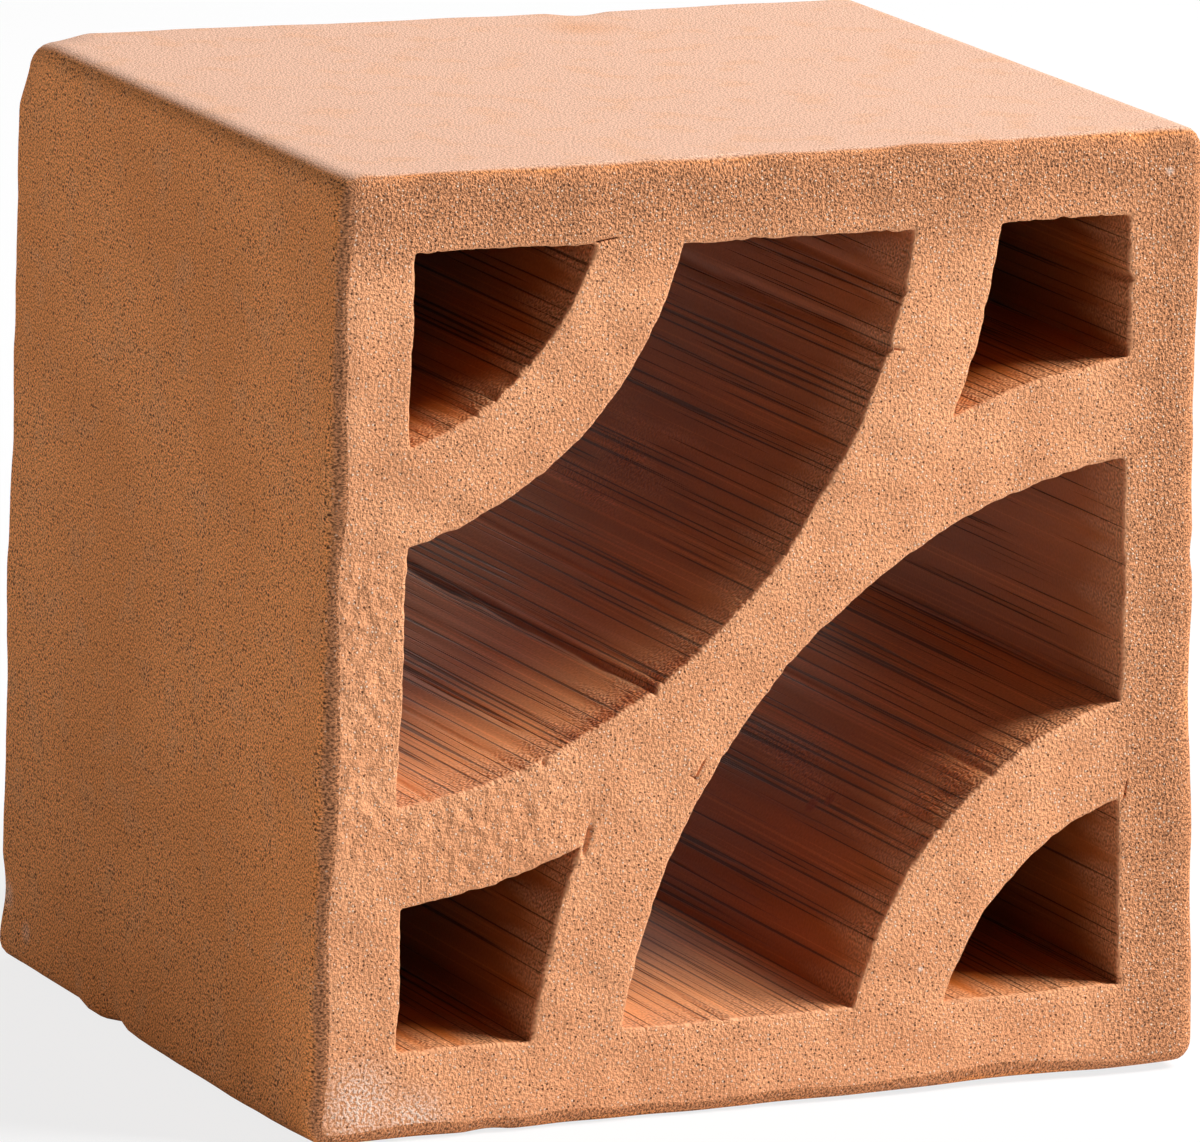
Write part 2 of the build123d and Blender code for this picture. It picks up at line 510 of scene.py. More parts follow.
def cut_face(rings, loose):
    """Triangles over a cut face: the net of the rings and the loose points, less what lies in a void or
    outside. rings holds the outline's points first and then each void's."""
    points = np.vstack(rings + [loose])
    starts = np.cumsum([0] + [len(ring) for ring in rings])
    edges = np.vstack([np.column_stack([np.arange(n), np.roll(np.arange(n), -1)]) + s
                       for n, s in zip([len(ring) for ring in rings], starts)])
    _, _, faces, origin, _, _ = delaunay_2d_cdt([Vector(p) for p in points], edges.tolist(), [], 0, 1e-8)
    first = np.array([ids[0] for ids in origin if ids])
    if len(first) != len(points) or len(origin) != len(points):
        raise RuntimeError(f"the cut face's net has {len(origin)} corners for {len(points)} points")
    triangles = first[np.array(faces)]
    keep = np.ones(len(triangles), bool)
    for number, ring in enumerate(rings):
        own = (triangles >= starts[number]) & (triangles < starts[number + 1])
        whole = np.nonzero(own.all(1))[0]
        inside = encloses(ring, points[triangles[whole]].mean(1))
        keep[whole] &= inside if number == 0 else ~inside
    triangles = triangles[keep]
    a, b, c = points[triangles].transpose(1, 0, 2)
    clockwise = (b - a)[:, 0] * (c - a)[:, 1] < (b - a)[:, 1] * (c - a)[:, 0]
    triangles[clockwise] = triangles[clockwise][:, ::-1]
    return triangles


def grid_triangles(count, rows, start):
    """Two triangles for each cell of a grid that closes round its steps, numbered from start."""
    i, j = (g.ravel() for g in np.meshgrid(np.arange(count), np.arange(rows - 1), indexing="ij"))
    following = (i + 1) % count
    a, b = start + i * rows + j, start + following * rows + j
    return np.vstack([np.column_stack([a, b, b + 1]), np.column_stack([a, b + 1, a + 1])])


def grid_corners(grid, step, aside):
    """The flat map of a grid's triangles, in metres and moved aside from other parts: the length round the
    line, and the length along the first row of points from the front."""
    count, rows = grid.shape[:2]
    length = np.concatenate([[0], np.cumsum(np.linalg.norm(np.diff(grid[0], axis=0), axis=1))])
    i, j = (g.ravel() for g in np.meshgrid(np.arange(count), np.arange(rows - 1), indexing="ij"))
    u = np.column_stack([i, i + 1]) * step + aside
    v = np.column_stack([length[j], length[j + 1]])
    lower = np.stack([u[:, [0, 1, 1]], v[:, [0, 0, 1]]], -1)
    upper = np.stack([u[:, [0, 1, 0]], v[:, [0, 1, 1]]], -1)
    return np.vstack([lower, upper])


# As-fired shape, in millimetres across, back and up. The front rows go with 1, u, v, uv, uu, vv, uuv and uvv,
# where u and v run from -1 to 1 over the width and height. The back rows go with 1, u, v and uv, and fade to
# nought at the front face.
FRONT_WARP = np.array(((-1.46, -0.14, 0.06), (-0.48, 0, -0.82), (-0.81, 0, 0.79), (-2.11, 0, -0.23),
                       (-0.14, 0, 0.50), (0.45, 0, -0.65), (-0.37, 0, -0.11), (0.61, 0, 1.20)))
BACK_WARP = np.array(((0.56, -0.30, -0.12), (0.82, -0.42, -0.27), (0.51, -0.26, 0.03), (0.77, -0.44, -0.48)))
MM = 0.001


def fired(points):
    """Each point moved as drying and firing left it: the terms in u and v times the two tables' rows."""
    u, v = points[:, 0] / HALF_WIDTH, points[:, 2] / HEIGHT * 2 - 1
    share = (points[:, 1:2] / HALF_DEPTH + 1) / 2
    low_terms = np.column_stack([np.ones_like(u), u, v, u * v])
    terms = np.column_stack([low_terms, u * u, v * v, u * u * v, u * v * v])
    return points + MM * (terms @ FRONT_WARP + share * (low_terms @ BACK_WARP))


# The patch that the wire dragged, on the left shell and on the web beside it: where it is and how wide.
SMEARED_SHELL_X, SMEARED_SHELL_WIDTH, SMEARED_SHELL_ENDS = -0.092, 0.010, (0.055, 0.118)
SMEARED_WEB_X, SMEARED_WEB_Z, SMEARED_WEB_WIDTH, SMEARED_WEB_STRETCH = -0.062, 0.062, 0.013, 1.9
SMEARED_FADE, SMEARED_PEAK = 0.03, 1.3


def smear(x, z):
    """Where the wire dragged the lower left of the front face: one in the patch and nought outside it."""
    ends = between(z, *SMEARED_SHELL_ENDS, SMEARED_FADE)
    shell = bump_at(x - SMEARED_SHELL_X, SMEARED_SHELL_WIDTH) * ends
    away = np.hypot((x - SMEARED_WEB_X) / SMEARED_WEB_STRETCH, z - SMEARED_WEB_Z)
    return np.clip(SMEARED_PEAK * np.maximum(shell, bump_at(away, SMEARED_WEB_WIDTH)), 0, 1)


def coarseness(x, z):
    """How coarsely a cut face is torn: one near its top and right edges, falling to nought past the shell."""
    inside = np.minimum(HEIGHT - z, HALF_WIDTH - x)
    return np.clip(1.6 - inside / (0.9 * SHELL), 0, 1)


# Waves in the front face, in the ropes that the wire dragged there, and in the back face: how long each kind
# is and how high. They fade out within a few millimetres of the face. The ropes lean, and are drawn out.
FRONT_WAVES = ((0.045, 0.00022), (0.012, 0.00009))
ROPE_WAVES = ((0.0050, 0.00006), (0.0026, 0.00005))
BACK_WAVES = ((0.05, 0.00025), (0.010, 0.00010))
FACE_FADE = 0.004
ROPE_LEAN, ROPE_SHORTENING = 0.35, 0.22


def waves(points, kinds, rng):
    """The sum of ripples of each kind, height times ripples of that length."""
    return sum(height * ripples(points, length, rng) for length, height in kinds)


def uneven_faces(points, rng):
    """The cut faces' waves and the marks in the front one, as a shift along the depth that fades away from
    each face."""
    x, z = points[:, 0], points[:, 2]
    plane = points[:, [0, 2]]
    slanted = np.column_stack([x - ROPE_LEAN * z, ROPE_SHORTENING * z])
    wave = waves(plane, FRONT_WAVES, rng)
    dragged = smear(x, z) * waves(slanted, ROPE_WAVES, rng)
    other = waves(plane, BACK_WAVES, rng)
    at_front = bump_at(points[:, 1] + HALF_DEPTH, FACE_FADE)
    at_back = bump_at(HALF_DEPTH - points[:, 1], FACE_FADE)
    moved = points.copy()
    moved[:, 1] += (wave + dragged + mark_depth(x, z)) * at_front - other * at_back
    return moved


def chipped(points):
    """Small bites out of the outer arrises, or swellings where deep is below nought: points within radius of
    each move by deep (1 - (distance / radius)^2)^1.5, nearly towards the middle of the block."""
    moved = points.copy()
    centre = np.array((0, 0, HEIGHT / 2))
    for spot, radius, deep in CHIPS:
        away = np.linalg.norm(points - np.array(spot), axis=1)
        bite = np.clip(1 - (away / radius) ** 2, 0, 1) ** 1.5 * deep
        inward = centre - np.array(spot)
        inward[1] *= CHIP_DEPTH_SHARE
        moved += bite[:, None] * inward / np.linalg.norm(inward)
    return moved


# Chips and swellings along the outer arrises: where, how wide and how deep.
CHIP_DEPTH_SHARE = 0.8
CHIPS = (
    ((-0.100, 0.031, 0.002), 0.010, -0.0012),
    ((-0.100, -0.058, 0.001), 0.026, -0.0008),
    ((-0.100, -0.030, 0.001), 0.026, -0.0009),
    ((-0.100, 0.000, 0.001), 0.026, -0.0009),
    ((-0.100, 0.085, 0.200), 0.016, 0.0028),
    ((-0.100, 0.0810, 0.014), 0.009, 0.0011),
    ((-0.0990, 0.070, 0.008), 0.008, 0.0009),
    ((-0.0990, 0.020, 0.003), 0.007, 0.0012),
    ((0.0860, -0.085, 0.1990), 0.006, 0.0008),
    ((-0.0990, -0.084, 0.1985), 0.006, 0.0009),
    ((-0.060, -0.085, 0.0005), 0.006, 0.0007),
    ((0.030, 0.085, 0.1995), 0.008, 0.0009),
    ((0.0990, 0.085, 0.0600), 0.008, 0.0010),
    ((0.0990, -0.085, 0.1100), 0.005, 0.0006),
)


def clay_body():
    """The whole block: the skin, six void walls and two cut faces as one closed net of triangles, with its
    flat map, each triangle's finish (0 skin, 1 wall, 2 cut face) and the values that the finishes read."""
    voids = void_lines()
    edge = stepped(outline(), SKIN_STEP)
    skin_grid = skin(edge, CLAY)
    grids, torn, rims = [skin_grid], [np.zeros(skin_grid.shape[:2])], [np.zeros(skin_grid.shape[:2])]
    for name, line_points in voids.items():
        grid, rough = void_wall(name, line_points, CLAY)
        grids.append(grid)
        torn.append(rough)
        rims.append(np.zeros(rough.shape))
        rims[-1][:, :len(MOUTH_TURNS)] = rims[-1][:, -len(MOUTH_TURNS):] = 1
    starts = np.cumsum([0] + [grid.shape[0] * grid.shape[1] for grid in grids])
    triangles, corners = [], []
    for number, grid in enumerate(grids):
        count, rows = grid.shape[:2]
        part = grid_triangles(count, rows, starts[number])
        flat = grid_corners(grid, SKIN_STEP if number == 0 else WALL_STEP, number)
        if number == 0:
            part, flat = part[:, ::-1], flat[:, ::-1]
        triangles.append(part)
        corners.append(flat)
    places = [grid.reshape(-1, 3) for grid in grids]
    total = starts[-1]
    for row, spacing, y in ((0, FRONT_GRID, -HALF_DEPTH), (-1, BACK_GRID, HALF_DEPTH)):
        rings = [grid[:, row][:, [0, 2]] for grid in grids]
        ring_ids = [s + np.arange(len(g)) * g.shape[1] + row % g.shape[1] for s, g in zip(starts, grids)]
        loose = face_points(spacing, row == 0, rings[1:])
        ids = np.concatenate(ring_ids + [total + np.arange(len(loose))])
        net = cut_face(rings, loose)
        net = net if row == 0 else net[:, ::-1]
        triangles.append(ids[net])
        corners.append(np.vstack(rings + [loose])[net] + (0, 1 if row == 0 else 2))
        places.append(np.column_stack([loose[:, 0], np.full(len(loose), y), loose[:, 1]]))
        total += len(loose)
    finish = np.repeat([0] + [1] * len(voids) + [2, 2], [len(part) for part in triangles])
    points, triangles = np.vstack(places), np.vstack(triangles)
    ragged, rim = np.zeros(total), np.zeros(total)
    ragged[:starts[-1]] = np.concatenate([r.ravel() for r in torn])
    rim[:starts[-1]] = np.concatenate([r.ravel() for r in rims])
    dragged = smear(points[:, 0], points[:, 2]) * (points[:, 1] < 0)
    narrow = np.zeros(total)
    for name, start, end in zip(voids, starts[1:], starts[2:]):
        narrow[start:end] = not name.startswith("channel")
    values = {"torn": ragged, "rim": rim, "narrow": narrow, "smeared": dragged,
              "coarse": coarseness(points[:, 0], points[:, 2])}
    uneven = uneven_faces(points, CLAY)
    shaped = fired(chipped(uneven))
    shaped[:, 2] = np.maximum(shaped[:, 2] - fired(uneven)[:, 2].min(), 0)
    return shaped, triangles, np.vstack(corners), finish, values


def clay_mesh(name):
    """The clay body's net as a mesh, with a flat map called surface, each face's finish and value layers."""
    points, triangles, corners, finish, values = clay_body()
    mesh = bpy.data.meshes.new(name)
    mesh.vertices.add(len(points))
    mesh.vertices.foreach_set("co", points.astype(np.float32).ravel())
    mesh.loops.add(triangles.size)
    mesh.loops.foreach_set("vertex_index", triangles.astype(np.int32).ravel())
    mesh.polygons.add(len(triangles))
    mesh.polygons.foreach_set("loop_start", np.arange(0, triangles.size, 3, dtype=np.int32))
    mesh.polygons.foreach_set("use_smooth", np.ones(len(triangles), bool))
    mesh.polygons.foreach_set("material_index", finish.astype(np.int32))
    mesh.update(calc_edges=True)
    mesh.uv_layers.new(name="surface").uv.foreach_set("vector", corners.astype(np.float32).ravel())
    for layer, value in values.items():
        mesh.attributes.new(layer, "FLOAT", "POINT").data.foreach_set("value", value.astype(np.float32))
    return mesh


block = bpy.data.objects.new("clay_block", clay_mesh("clay_block"))
bpy.context.scene.collection.objects.link(block)
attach(block, "root")
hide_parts("breeze_block")

# Clay block: finish
# Bare fired clay, in three finishes. The outside keeps the die's smooth skin, with fine dark pores. The wire
# leaves the two cut faces coarse and pitted, and the cores leave the void walls streaked. Lime has bloomed on
# the front's lower left corner.


class Finish:
    """A matte clay material, put together step by step. Each step adds a node and gives back its output."""

    def __init__(self, name):
        self.material = bpy.data.materials.new(name)
        self.material.use_nodes = True
        self.tree = self.material.node_tree
        self.tree.nodes.clear()
        self.spot = self.node("TexCoord").outputs["Object"]
        self.surface = self.node("UVMap", {"uv_map": "surface"}).outputs["UV"]

    def node(self, kind, settings=(), inputs=()):
        """A node of that kind with its settings, each input set to a value or joined to an output."""
        made = self.tree.nodes.new("ShaderNode" + kind)
        for key, value in dict(settings).items():
            setattr(made, key, value)
        for place, value in dict(inputs).items():
            if isinstance(value, bpy.types.NodeSocket):
                self.tree.links.new(value, made.inputs[place])
            else:
                made.inputs[place].default_value = value
        return made

    def maths(self, operation, *values):
        """One step of arithmetic on values or outputs."""
        return self.node("Math", {"operation": operation}, enumerate(values)).outputs[0]

    def layer(self, label):
        """One of the mesh's value layers."""
        return self.node("Attribute", {"attribute_name": label}).outputs["Fac"]

    def ramp(self, value, low_end, high_end, first=0.0, last=1.0):
        """A value carried smoothly from first, at the low end, to last, at the high end."""
        ends = {"Value": value, "From Min": low_end, "From Max": high_end, "To Min": first, "To Max": last}
        return self.node("MapRange", {"interpolation_type": "SMOOTHSTEP"}, ends).outputs[0]

    def blend(self, amount, first, second):
        """The first colour turning into the second as amount goes from nought to one."""
        ends = [end if isinstance(end, bpy.types.NodeSocket) else (*end, 1) for end in (first, second)]
        return self.node("Mix", {"data_type": "RGBA"}, {0: amount, 6: ends[0], 7: ends[1]}).outputs[2]

    def shade(self, colour, value):
        """A colour made lighter or darker by a value near one."""
        return self.node("VectorMath", {"operation": "SCALE"}, {0: colour, "Scale": value}).outputs[0]

    def grain(self, per_metre, detail=1.0, rough=0.5, drawn_out=1.0):
        """Smooth noise on the surface, with that many turns a metre, drawn out so many times along the
        depth."""
        place = self.surface
        if drawn_out != 1.0:
            stretch = {"Vector": place, "Scale": (1.0, 1.0 / drawn_out, 1.0)}
            place = self.node("Mapping", (), stretch).outputs[0]
        inputs = {"Vector": place, "Scale": per_metre, "Detail": detail, "Roughness": rough}
        return self.node("TexNoise", {"noise_dimensions": "2D"}, inputs).outputs["Fac"]

    def cells(self, per_metre):
        """A random net on the surface: how far a point lies from its cell's seed, in cells, and two chances
        that each cell has of its own."""
        inputs = {"Vector": self.surface, "Scale": per_metre}
        cell = self.node("TexVoronoi", {"voronoi_dimensions": "2D"}, inputs)
        chance = self.node("SeparateColor", (), {0: cell.outputs["Color"]})
        return cell.outputs["Distance"], chance.outputs[0], chance.outputs[1]

    def dots(self, cells, first, last, size):
        """A round dot on the seed of each cell whose chance lies from first to last, up to size across, in
        cells."""
        away, chance, own = cells
        above, below = self.maths("GREATER_THAN", chance, first), self.maths("LESS_THAN", chance, last)
        radius = self.maths("MULTIPLY_ADD", own, 0.35 * size, 0.15 * size)
        inside = self.ramp(self.maths("DIVIDE", away, radius), 0.55, 1.0, 1.0, 0.0)
        return self.maths("MULTIPLY", inside, self.maths("MULTIPLY", above, below))

    def near(self, place, radius, soft=1.0):
        """One at a place in the block, falling to nought at radius over the share of it that soft gives."""
        away = self.node("VectorMath", {"operation": "DISTANCE"}, {0: self.spot, 1: place}).outputs["Value"]
        return self.ramp(away, radius * (1 - soft), radius, 1.0, 0.0)

    def finished(self, colour, height, roughness, shine):
        """The material, with that colour, bumps of that height in metres, roughness and shine."""
        bump = self.node("Bump", (), {"Strength": 1.0, "Distance": 1.0, "Height": height})
        inputs = {"Base Color": colour, "Roughness": roughness, "Specular IOR Level": shine,
                  "Normal": bump.outputs[0]}
        surface = self.node("BsdfPrincipled", (), inputs)
        self.node("OutputMaterial", (), {"Surface": surface.outputs[0]})
        return self.material


PORE_SHADE = (0.055, 0.018, 0.008)
# Pale grit, made bright enough to stand for the highlights on raised grains: partly painted highlight.
PALE_GRIT_GLINT = (0.950, 0.700, 0.520)
LIME_BLOOM = (0.850, 0.640, 0.520)
# The coarse cut colour is darker as painted shade, for the shadows in the coarse relief along the top and
# right of the cut faces and at the skin's arrises.
CUT_DARK, CUT_BRIGHT, CUT_COARSE_SHADE = (0.710, 0.315, 0.150), (0.775, 0.355, 0.174), (0.605, 0.255, 0.114)


# The first pair is the clay as it looks in shade, deep and saturated, kept on the left and bottom. The next
# line is painted light: the top is paler and pinker, as the sheen of grazing light on clay, and the right
# side is a duller copy of that lit look.
SKIN_DARK, SKIN_BRIGHT = (0.690, 0.252, 0.076), (0.770, 0.292, 0.094)
SKIN_RIGHT_SHEEN, SKIN_TOP_SHEEN = (0.500, 0.245, 0.130), (0.640, 0.385, 0.272)
DRAG_STAIN, PALE_PATCH = (0.600, 0.270, 0.120), (0.660, 0.320, 0.150)


def die_skin():
    """The four outer sides: clouded orange brown, deep and saturated as clay looks in shade on the left and
    bottom, with a painted sheen that makes the top pinker and paler and the right duller, and clustered fine
    dark pores. At the ends it turns into the torn clay of the cut faces, darker there as painted shade."""
    clay = Finish("die_skin")
    cloud, patch = clay.grain(22.0, 1.0, 0.55), clay.grain(95.0, 1.0, 0.6)
    grain = clay.grain(2100.0, 1.0, 0.7)
    cells = clay.cells(840.0)
    outward = clay.maths("ABSOLUTE", clay.node("SeparateXYZ", (), {0: clay.spot}).outputs[1])
    torn = clay.ramp(clay.maths("MULTIPLY_ADD", patch, 0.0016, outward), 0.0838, 0.0854)
    normal = clay.node("SeparateXYZ", (), {0: clay.node("NewGeometry").outputs["Normal"]})
    # Painted light by facing: upward faces take the top's painted sheen, and rightward faces take its duller
    # copy.
    top_sheen, right_sheen = clay.ramp(normal.outputs[2], 0.70, 0.97), clay.ramp(normal.outputs[0], 0.70, 0.97)
    # Under the painted sheen the grain's painted shade and the pores are fainter.
    level = clay.maths("MULTIPLY_ADD", top_sheen, -0.75, 1.0)
    thick = clay.ramp(clay.maths("ADD", patch, cloud), 0.82, 1.22, 0.10, 0.60)
    pores = clay.dots(cells, 0.0, clay.maths("MULTIPLY_ADD", torn, 0.10, thick), 0.74)
    grit = clay.dots(cells, clay.maths("MULTIPLY_ADD", torn, -0.22, 0.965), 1.0, 0.42)
    specks = clay.ramp(grain, 0.40, 0.30)
    colour = clay.blend(clay.ramp(cloud, 0.30, 0.70), SKIN_DARK, SKIN_BRIGHT)
    # Painted light: the right side turns to a duller copy of the top's sheened colour.
    colour = clay.blend(right_sheen, colour, SKIN_RIGHT_SHEEN)
    # Painted sheen: the top turns paler and pinker.
    colour = clay.blend(top_sheen, colour, SKIN_TOP_SHEEN)
    dragged = clay.near((0.022, 0.063, 0.200), 0.014)
    colour = clay.blend(clay.maths("MULTIPLY", dragged, 0.5), colour, DRAG_STAIN)
    scuffs = clay.maths("MAXIMUM", clay.near((-0.100, 0.080, 0.015), 0.005),
                        clay.near((-0.100, 0.069, 0.009), 0.004))
    colour = clay.blend(clay.maths("MULTIPLY", scuffs, 0.5), colour, LIME_BLOOM)
    colour = clay.blend(clay.ramp(patch, 0.50, 0.75, 0.0, 0.25), colour, PALE_PATCH)
    # Painted shade: at the arrises the skin turns to the cut faces' torn clay, in its darker shaded colour.
    colour = clay.blend(torn, colour, CUT_COARSE_SHADE)
    # Painted shade and highlight: the grain is darker in its hollows and lighter on its peaks, following its
    # bumps.
    hollow_shade = clay.maths("MULTIPLY_ADD", level, -0.38, 0.80)
    colour = clay.shade(colour, clay.ramp(grain, 0.25, 0.75, hollow_shade, 1.38))
    level = clay.maths("MULTIPLY", level, clay.maths("MULTIPLY_ADD", torn, -0.5, 1.0))
    for spots, strength in ((specks, 0.65), (pores, 0.90)):
        amount = clay.maths("MULTIPLY", spots, clay.maths("MULTIPLY", level, strength))
        colour = clay.blend(amount, colour, PORE_SHADE)
    # Pale grit, partly a painted highlight.
    colour = clay.blend(clay.maths("MULTIPLY", grit, 0.55), colour, PALE_GRIT_GLINT)
    height = clay.maths("MULTIPLY", grain, clay.maths("MULTIPLY_ADD", torn, 0.00035, 0.00016))
    return clay.finished(colour, height, 0.85, 0.15)


def wire_cut():
    """The front and back: bright clay with torn grit, dark pits and pale specks, coarser along the top and
    the right and darker there as painted shade of that coarse relief, and drawn into soft ropes where the
    wire dragged it. The grain is painted darker in its hollows and lighter on its peaks, and the pale grit is
    partly a painted highlight."""
    clay = Finish("wire_cut")
    coarse, smeared = clay.layer("coarse"), clay.layer("smeared")
    patch = clay.grain(60.0, 1.0, 0.6)
    grain = clay.grain(1400.0, 1.0, 0.7)
    ropes = clay.grain(380.0, 0.0)
    cells = clay.cells(980.0)
    share = clay.maths("MULTIPLY_ADD", smeared, -0.15, clay.maths("MULTIPLY_ADD", coarse, 0.18, 0.32))
    pits = clay.dots(cells, 0.0, share, 0.62)
    grit = clay.dots(cells, clay.maths("MULTIPLY_ADD", coarse, -0.10, 0.66), 1.0, 0.62)
    colour = clay.blend(clay.ramp(patch, 0.35, 0.70), CUT_DARK, CUT_BRIGHT)
    # Painted shade: the coarse top and right of the face are darker, for the shadows in their relief.
    colour = clay.blend(clay.maths("MULTIPLY", coarse, 0.85), colour, CUT_COARSE_SHADE)
    # Painted shade and highlight: the grain is darker in its hollows and lighter on its peaks, more so where
    # coarse.
    hollow_shade = clay.maths("MULTIPLY_ADD", coarse, -0.22, 0.84)
    colour = clay.shade(colour, clay.ramp(grain, 0.25, 0.75, hollow_shade, 1.22))
    colour = clay.blend(clay.maths("MULTIPLY", pits, 0.80), colour, PORE_SHADE)
    # Pale grit on the raised grains, partly a painted highlight.
    colour = clay.blend(clay.maths("MULTIPLY", grit, 0.85), colour, PALE_GRIT_GLINT)
    bloom = clay.maths("MAXIMUM", clay.near((-0.091, -0.085, 0.009), 0.013),
                       clay.near((-0.079, -0.085, 0.004), 0.011))
    colour = clay.blend(clay.maths("MULTIPLY", bloom, clay.ramp(grain, 0.40, 0.62)), colour, LIME_BLOOM)
    flecks = clay.maths("MAXIMUM", clay.near((0.0361, -0.085, 0.0271), 0.0009, 0.5),
                        clay.near((0.0879, -0.085, 0.1936), 0.0013, 1.0))
    colour = clay.blend(clay.maths("MULTIPLY", flecks, 0.8), colour, LIME_BLOOM)
    height = clay.maths("MULTIPLY", grain, clay.maths("MULTIPLY_ADD", coarse, 0.00038, 0.00044))
    height = clay.maths("MULTIPLY_ADD", ropes, clay.maths("MULTIPLY", smeared, 0.0008), height)
    height = clay.maths("MULTIPLY_ADD", pits, -0.00024, height)
    height = clay.maths("MULTIPLY_ADD", grit, 0.00025, height)
    return clay.finished(colour, height, 0.85, 0.20)


# The walls' colours are deeper and redder than the cut clay, partly painted shade for the insides of the
# voids.
WALL_BRIGHT, WALL_DARK, WALL_FLOOR_LIT = (0.620, 0.230, 0.064), (0.545, 0.198, 0.062), (0.560, 0.230, 0.090)
WALL_NARROW_SHADE, WALL_FACING_LEFT_SHADE = (0.430, 0.112, 0.019), (0.330, 0.092, 0.018)
WALL_SANDY, WALL_TORN, WALL_GOUGE = (0.575, 0.246, 0.108), (0.400, 0.100, 0.024), (0.300, 0.070, 0.020)


def void_wall_clay():
    """The voids' walls: smooth reddish brown, deeper and redder than the cut clay as partly painted shade,
    with sharp scores along the depth, darker in their grooves as partly painted shade, sandy near the mouths,
    and granular where grit has torn them. Walls that face left, and those of the small voids, are darker as
    painted shade, and floors that face up are paler as painted light."""
    clay = Finish("void_wall")
    cloud = clay.grain(26.0, 1.0, 0.5, 3.0)
    broad = clay.grain(170.0, 1.0, 0.5, 40.0)
    scores = clay.grain(1250.0, 1.0, 0.5, 200.0)
    sand = clay.grain(1500.0, 0.0)
    torn, narrow, rim = clay.layer("torn"), clay.layer("narrow"), clay.layer("rim")
    inward = clay.maths("ABSOLUTE", clay.node("SeparateXYZ", (), {0: clay.spot}).outputs[1])
    normal = clay.node("SeparateXYZ", (), {0: clay.node("NewGeometry").outputs["Normal"]})
    sideways, facing = normal.outputs[0], normal.outputs[2]
    near_mouth = clay.ramp(clay.maths("MULTIPLY_ADD", broad, 0.04, inward), 0.082, 0.108)
    sandy = clay.maths("MAXIMUM", torn, near_mouth)
    often = clay.maths("MULTIPLY_ADD", clay.ramp(facing, 0.0, 0.8), 0.05, clay.maths("MULTIPLY", broad, 0.20))
    line = clay.ramp(clay.maths("ADD", scores, often), 0.73, 0.84)
    ridge = clay.ramp(scores, 0.36, 0.26)
    colour = clay.blend(clay.ramp(cloud, 0.40, 0.60), WALL_BRIGHT, WALL_DARK)
    # Painted light: walls that face up, the voids' floors, turn to the paler hue of lit clay.
    colour = clay.blend(clay.ramp(facing, 0.2, 0.9, 0.0, 0.6), colour, WALL_FLOOR_LIT)
    # Painted shade: the walls of the four small, deep voids are darker and redder.
    colour = clay.blend(narrow, colour, WALL_NARROW_SHADE)
    # Painted shade: walls that face left, away from the key lamp, are darker and redder.
    colour = clay.blend(clay.ramp(sideways, -0.4, -0.9, 0.0, 0.9), colour, WALL_FACING_LEFT_SHADE)
    colour = clay.blend(sandy, colour, WALL_SANDY)
    colour = clay.blend(clay.maths("MULTIPLY", torn, 0.8), colour, WALL_TORN)
    # Partly painted shade: the scores are darker in their grooves.
    colour = clay.shade(colour, clay.maths("MULTIPLY_ADD", line, -0.66, 1.0))
    colour = clay.shade(colour, clay.maths("MULTIPLY_ADD", ridge, 0.26, 1.0))
    gouge = clay.maths("MAXIMUM", clay.near((0.0350, -0.0345, 0.0507), 0.0026, 0.6),
                       clay.near((0.0368, -0.0395, 0.0527), 0.0022, 0.6))
    colour = clay.blend(clay.maths("MULTIPLY", gouge, 0.8), colour, WALL_GOUGE)
    colour = clay.shade(colour, clay.ramp(broad, 0.3, 0.7, 1.10, 0.90))
    speckle = clay.maths("MULTIPLY", clay.maths("MULTIPLY_ADD", sandy, 0.45, 0.10), 2.6)
    colour = clay.shade(colour, clay.maths("MULTIPLY_ADD", clay.maths("SUBTRACT", sand, 0.5), speckle, 1.0))
    colour = clay.blend(rim, colour, CUT_BRIGHT)
    height = clay.maths("MULTIPLY", line, -0.00022)
    height = clay.maths("MULTIPLY_ADD", broad, 0.00035, height)
    height = clay.maths("MULTIPLY_ADD", sand, clay.maths("MULTIPLY_ADD", sandy, 0.00038, 0.00004), height)
    return clay.finished(colour, height, 0.65, clay.maths("MULTIPLY_ADD", narrow, -0.18, 0.24))


for made in (die_skin(), void_wall_clay(), wire_cut()):
    block.data.materials.append(made)

# Studio
# A pale level floor under a white background. A soft key lamp stands high on the right, so that it grazes the
# front face. Two weak lamps fill in from behind, one on each side.

FLOOR_SIZE = 12.0
FLOOR_COLOUR = (0.80, 0.80, 0.80, 1)
FLOOR_WHITE_SHARE = 0.8
AMBIENT = 0.045


def mixed(tree, share, first, second, output):
    """The first shader turning into the second as share goes from nought to one, joined to an output."""
    both, out = tree.nodes.new("ShaderNodeMixShader"), tree.nodes.new(output)
    for source, place in zip((share, first.outputs[0], second.outputs[0]), both.inputs):
        tree.links.new(source, place)
    tree.links.new(both.outputs[0], out.inputs[0])


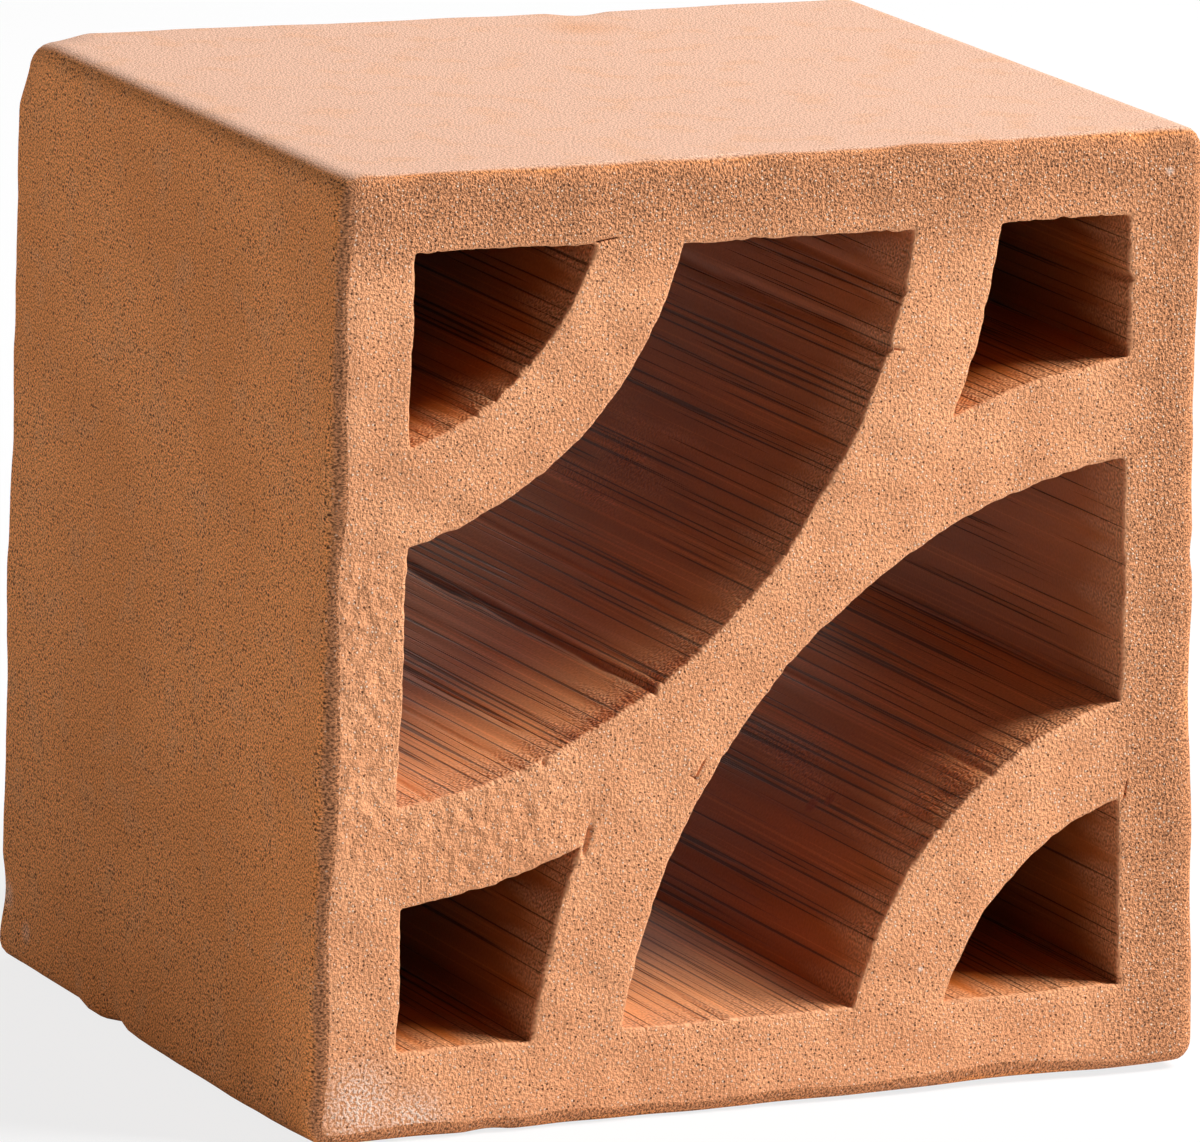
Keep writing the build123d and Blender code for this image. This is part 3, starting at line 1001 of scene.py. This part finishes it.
def floor_plane():
    """A flat square of that size under the block, with paint that is partly plain white to the camera."""
    half = FLOOR_SIZE / 2
    mesh = bpy.data.meshes.new("floor")
    corners = [(-half, -half, 0), (half, -half, 0), (half, half, 0), (-half, half, 0)]
    mesh.from_pydata(corners, [], [(0, 1, 2, 3)])
    plane = bpy.data.objects.new("floor", mesh)
    bpy.context.scene.collection.objects.link(plane)
    paint = bpy.data.materials.new("floor_paint")
    paint.use_nodes = True
    tree = paint.node_tree
    tree.nodes.clear()
    matte = tree.nodes.new("ShaderNodeBsdfDiffuse")
    matte.inputs["Color"].default_value = FLOOR_COLOUR
    white = tree.nodes.new("ShaderNodeEmission")
    path = tree.nodes.new("ShaderNodeLightPath")
    share = tree.nodes.new("ShaderNodeMath")
    share.operation = "MULTIPLY"
    share.inputs[1].default_value = FLOOR_WHITE_SHARE
    tree.links.new(path.outputs["Is Camera Ray"], share.inputs[0])
    mixed(tree, share.outputs[0], matte, white, "ShaderNodeOutputMaterial")
    mesh.materials.append(paint)


def white_background():
    """A world that lights the block weakly, and is plain white to the camera and in reflections."""
    world = bpy.data.worlds.new("studio")
    bpy.context.scene.world = world
    world.use_nodes = True
    tree = world.node_tree
    tree.nodes.clear()
    dim, white = tree.nodes.new("ShaderNodeBackground"), tree.nodes.new("ShaderNodeBackground")
    dim.inputs["Strength"].default_value = AMBIENT
    white.inputs["Color"].default_value = (1, 1, 1, 1)
    white.inputs["Strength"].default_value = 1.0
    path = tree.nodes.new("ShaderNodeLightPath")
    seen = path.outputs["Is Camera Ray"]
    for ray in ("Is Glossy Ray", "Is Transmission Ray"):
        either = tree.nodes.new("ShaderNodeMath")
        either.operation = "MAXIMUM"
        tree.links.new(seen, either.inputs[0])
        tree.links.new(path.outputs[ray], either.inputs[1])
        seen = either.outputs[0]
    mixed(tree, seen, dim, white, "ShaderNodeOutputWorld")


def soft_lamp(name, azimuth, elevation, distance, size, power):
    """A square lamp facing the block, on the ray (sin a cos e, -cos a cos e, sin e) from its middle,
    where a and e are the azimuth and the elevation in degrees."""
    a, e = math.radians(azimuth), math.radians(elevation)
    away = Vector((math.sin(a) * math.cos(e), -math.cos(a) * math.cos(e), math.sin(e)))
    lamp = bpy.data.lights.new(name, "AREA")
    lamp.shape = "SQUARE"
    lamp.size = size
    lamp.energy = power
    held = bpy.data.objects.new(name, lamp)
    held.location = (low + high) / 2 + away * distance
    held.rotation_euler = away.to_track_quat("Z", "Y").to_euler()
    bpy.context.scene.collection.objects.link(held)


# Each lamp's azimuth and elevation in degrees, its distance and size in metres, and its power in watts.
LAMPS = {
    "key_lamp": (62, 42, 2.6, 1.0, 116.0),
    "back_lamp": (150, 32, 1.6, 0.8, 6.5),
    "left_fill_lamp": (-108, 14, 1.6, 0.8, 5.4),
}

floor_plane()
white_background()
for name, setting in LAMPS.items():
    soft_lamp(name, *setting)

bpy.context.scene.view_settings.view_transform = "Standard"
